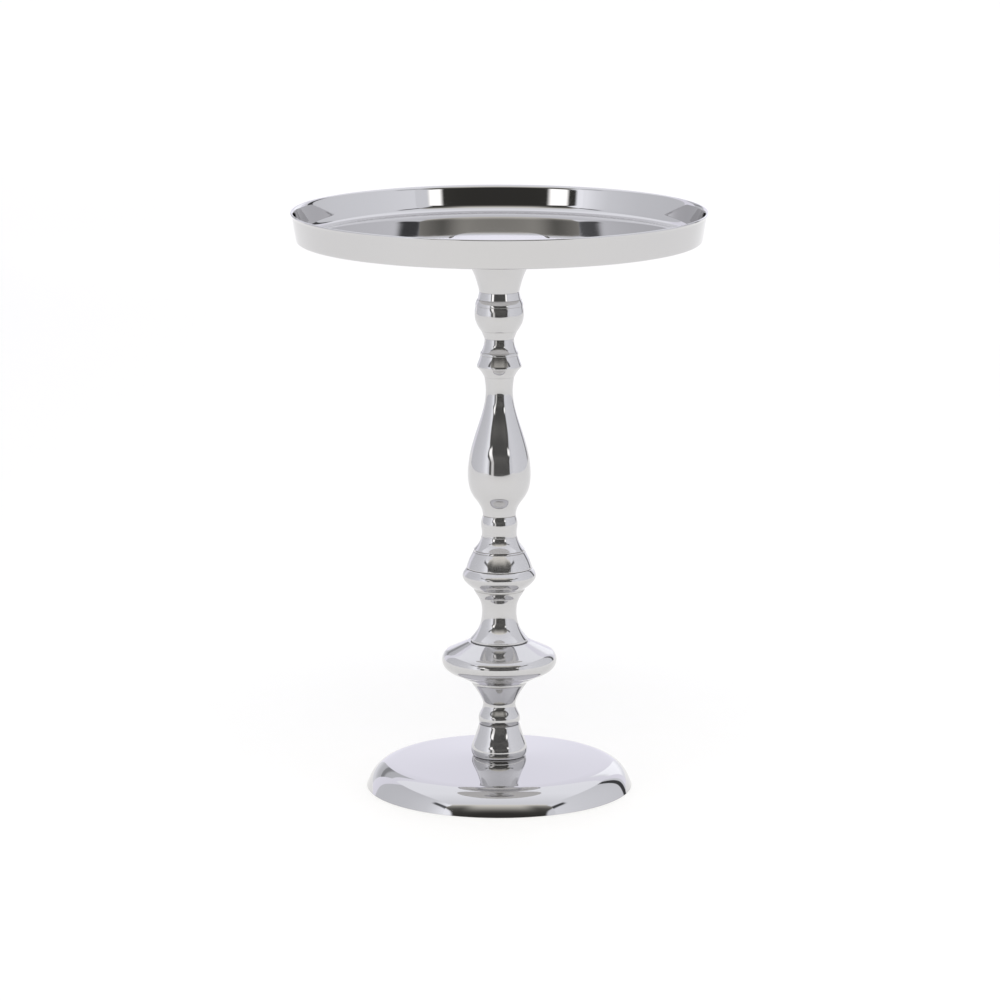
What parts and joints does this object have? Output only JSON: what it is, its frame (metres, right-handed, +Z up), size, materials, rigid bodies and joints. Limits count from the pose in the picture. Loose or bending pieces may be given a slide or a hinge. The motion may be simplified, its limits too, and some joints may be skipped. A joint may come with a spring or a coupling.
{
  "type": "pedestal tray table",
  "caption": "Small round tray table: a lipped mirror-polished tray that unscrews from a turned baluster column on a round weighted base.",
  "frame": {"origin": "on the floor, on the column's axis", "axes": "+Z up along the column's axis, which is every turned piece's axis; +X and +Y are equal"},
  "size_m": [0.396, 0.396, 0.56],
  "materials": {
    "tray_dish": "mirror-polished nickel plate",
    "support_cup": "mirror-polished nickel plate",
    "upper_knop": "mirror-polished nickel plate",
    "upper_collar": "mirror-polished nickel plate",
    "vase": "mirror-polished nickel plate",
    "lower_collar": "mirror-polished nickel plate",
    "ring_knop": "mirror-polished nickel plate",
    "waist_spool": "mirror-polished nickel plate",
    "disc_knop": "mirror-polished nickel plate",
    "lower_spool": "mirror-polished nickel plate",
    "bell": "mirror-polished nickel plate",
    "base_shell": "mirror-polished nickel plate",
    "tray_boss": "plain machined",
    "tray_washer": "pressed fibre sheet",
    "base_weight": "cast cement",
    "base_felt": "felt",
    "tie_rod": "plain machined",
    "top_washer": "plain machined",
    "top_nut": "plain machined",
    "base_washer": "plain machined",
    "base_spring_washer": "plain machined",
    "base_nut": "plain machined"
  },
  "bodies": {
    "stand": {"support_cup": "support_cup", "upper_knop": "upper_knop", "upper_collar": "upper_collar", "vase": "vase", "lower_collar": "lower_collar", "ring_knop": "ring_knop", "waist_spool": "waist_spool", "disc_knop": "disc_knop", "lower_spool": "lower_spool", "bell": "bell", "base_shell": "base_shell", "base_weight": "base_weight", "base_felt": "base_felt", "tie_rod": "tie_rod", "top_washer": "top_washer", "top_nut": "top_nut", "base_washer": "base_washer", "base_spring_washer": "base_spring_washer", "base_nut": "base_nut"},
    "washer": {"tray_washer": "tray_washer"},
    "tray": {"tray_dish": "tray_dish", "tray_boss": "tray_boss"}
  },
  "joints": [
    {"name": "tray_lift", "type": "slide", "parent": "stand", "child": "washer", "axis": [0, 0, 1], "range_m": [0, 0.012]},
    {"name": "tray_turn", "type": "hinge", "parent": "washer", "child": "tray", "pos_m": [0, 0, 0.5318], "axis": [0, 0, 1], "range_deg": [0, 2880]}
  ],
  "couplings": [
    {"joint": "tray_lift", "follows": "tray_turn", "m_per_rad": 0.00023873}
  ]
}
